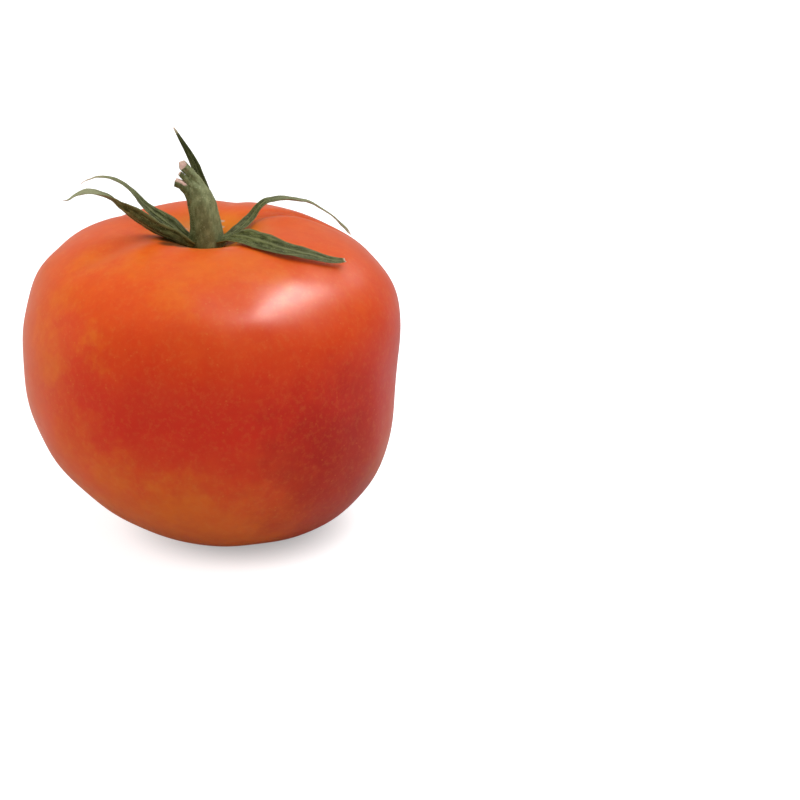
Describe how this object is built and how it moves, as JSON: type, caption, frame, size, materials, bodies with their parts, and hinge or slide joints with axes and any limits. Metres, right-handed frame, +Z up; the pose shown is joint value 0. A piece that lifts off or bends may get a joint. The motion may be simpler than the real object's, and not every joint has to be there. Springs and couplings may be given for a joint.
{
  "type": "tomato",
  "caption": "Ripe orange-red slicing tomato standing on its flat spot, with a dried green calyx of curled sepals and a split stem stub.",
  "frame": {"origin": "on the surface that the tomato stands on, under the middle of its stem hollow and of its width and depth", "axes": "+Z up through the stem hollow, +X towards the side that the blossom end leans to, +Y away from the viewer in the front view"},
  "size_m": [0.08, 0.08, 0.0864],
  "materials": {
    "fruit_skin": "smooth waxy tomato skin, orange at the shoulders and red at the sides",
    "stem_green": "dull olive green stem with fine hairs and faint ridges",
    "sepal_green": "dull olive green leaf with a midrib, drying to straw at the tips"
  },
  "bodies": {
    "root": {"fruit": "fruit_skin", "stem": "stem_green", "sepal_left_front": "sepal_green", "sepal_left_back": "sepal_green", "sepal_back": "sepal_green", "sepal_right_back": "sepal_green", "sepal_right_front": "sepal_green"}
  },
  "joints": []
}
